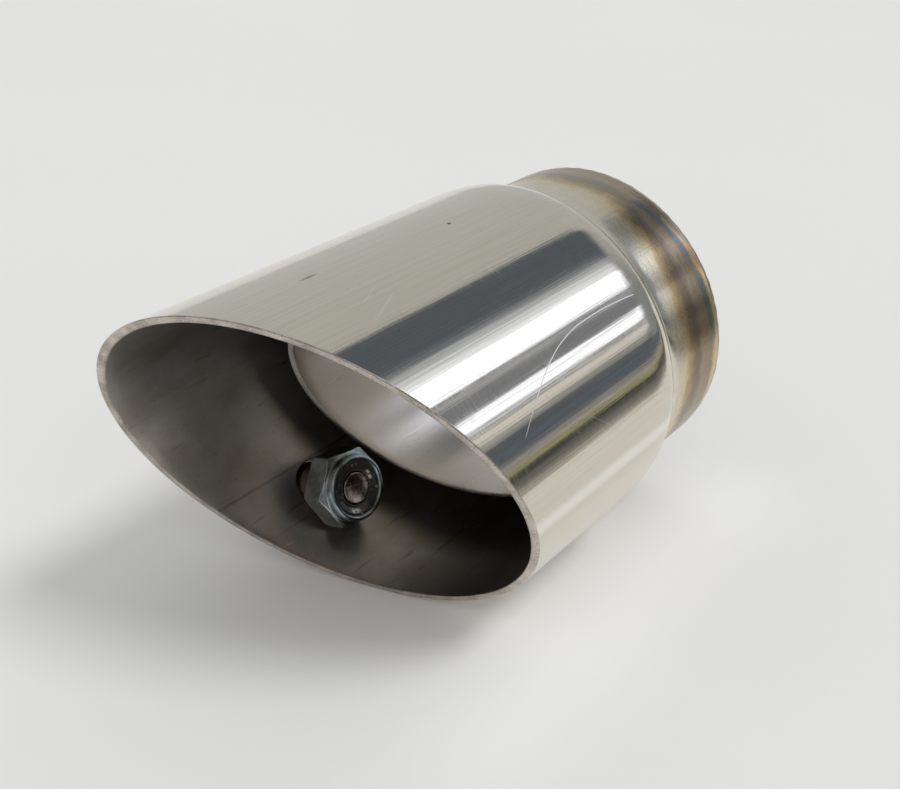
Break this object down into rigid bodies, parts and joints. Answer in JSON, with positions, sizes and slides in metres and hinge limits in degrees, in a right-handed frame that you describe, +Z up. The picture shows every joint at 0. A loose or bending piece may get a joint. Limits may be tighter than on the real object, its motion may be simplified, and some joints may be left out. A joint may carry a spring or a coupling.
{
  "type": "exhaust baffle insert",
  "caption": "Slash-cut stainless exhaust insert: a thin sleeve swaged to a neck, a narrower slashed tube welded inside it, and a fixing bolt with a lock nut through its side.",
  "frame": {"origin": "on the floor under the tube's axis, at the middle of the insert's length", "axes": "+Y along the tube's axis from the slashed outlet to the neck, +Z up as the insert lies on its side"},
  "size_m": [0.0636, 0.0898, 0.0635],
  "materials": {
    "polished_stainless": "polished, scuffed, heat tinted at the neck",
    "satin_stainless": "satin",
    "tinted_weld": "fused weld, straw and blue heat tint",
    "zinc_steel": "zinc plated",
    "black_nylon": "smooth"
  },
  "bodies": {
    "root": {"outer_sleeve": "polished_stainless", "inner_tube": "satin_stainless", "rear_weld_bead": "tinted_weld", "fixing_bolt": "zinc_steel", "lock_nut": "zinc_steel", "nylon_ring": "black_nylon"}
  },
  "joints": []
}
